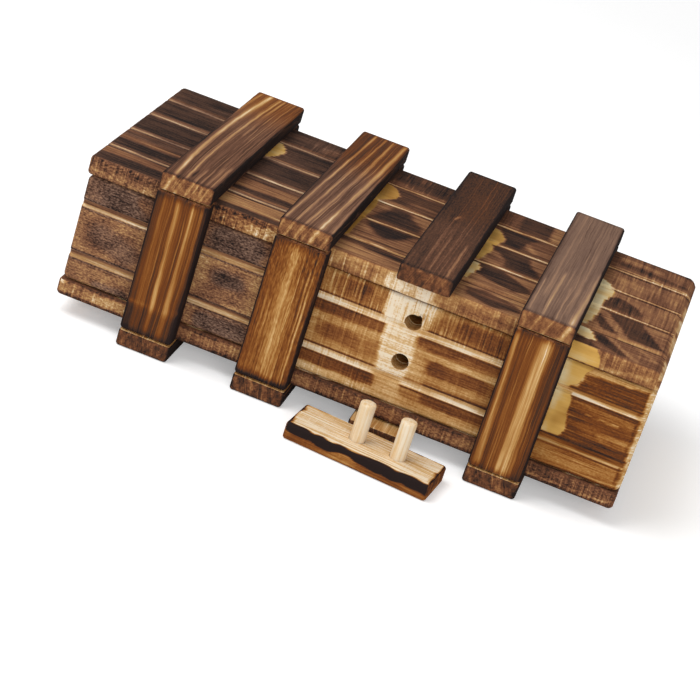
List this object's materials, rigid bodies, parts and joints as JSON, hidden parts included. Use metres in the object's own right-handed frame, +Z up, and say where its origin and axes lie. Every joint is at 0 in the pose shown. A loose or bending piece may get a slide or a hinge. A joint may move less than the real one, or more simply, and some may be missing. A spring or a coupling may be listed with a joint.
{
  "type": "puzzle box",
  "caption": "Scorched pine crate held by wooden hoops, with hidden drawers in both ends and a lift-off strap whose pegs lock them.",
  "frame": {"origin": "on the table, under the middle of the box that holds case and key together", "axes": "+X along the case to its right end, +Y to its back, +Z up"},
  "size_m": [0.16, 0.1059, 0.0515],
  "materials": {
    "scorched_boards": "flame-scorched pine, wire brushed, matt, pale in the grooves",
    "scorched_battens": "flame-scorched pine with pale growth lines, satin",
    "charred_battens": "deeply charred pine, matt",
    "sanded_ends": "end boards sanded flush after scorching, matt",
    "bare_pine": "planed bare pine, matt",
    "dowel": "turned birch dowel, matt"
  },
  "bodies": {
    "case": {"lid_panel": "scorched_boards", "base_panel": "scorched_boards", "front_wall": "scorched_boards", "back_wall": "scorched_boards", "upper_end_board": "scorched_boards", "lower_end_board": "sanded_ends", "shelf": "bare_pine", "top_batten_1": "scorched_battens", "top_batten_2": "scorched_battens", "top_batten_3": "charred_battens", "top_batten_4": "charred_battens", "bottom_batten_1": "scorched_battens", "bottom_batten_2": "scorched_battens", "bottom_batten_3": "scorched_battens", "bottom_batten_4": "scorched_battens", "back_batten_1": "charred_battens", "back_batten_2": "charred_battens", "back_batten_3": "charred_battens", "back_batten_4": "charred_battens", "front_batten_1": "scorched_battens", "front_batten_2": "scorched_battens", "front_batten_4": "scorched_battens"},
    "upper_drawer": {"upper_drawer_end": "sanded_ends", "upper_drawer_floor": "bare_pine", "upper_drawer_front_side": "bare_pine", "upper_drawer_back_side": "bare_pine", "upper_drawer_rear": "bare_pine"},
    "lower_drawer": {"lower_drawer_end": "scorched_boards", "lower_drawer_floor": "bare_pine", "lower_drawer_front_side": "bare_pine", "lower_drawer_back_side": "bare_pine", "lower_drawer_rear": "bare_pine"},
    "key": {"key_batten": "charred_battens", "key_peg_upper": "dowel", "key_peg_lower": "dowel"}
  },
  "joints": [
    {"name": "upper_drawer_slide", "type": "slide", "parent": "case", "child": "upper_drawer", "axis": [1, 0, 0], "range_m": [0, 0.11]},
    {"name": "lower_drawer_slide", "type": "slide", "parent": "case", "child": "lower_drawer", "axis": [-1, 0, 0], "range_m": [0, 0.11]},
    {"name": "key_lift", "type": "slide", "parent": "case", "child": "key", "axis": [0, 0, 1], "range_m": [0, 0.04]}
  ]
}
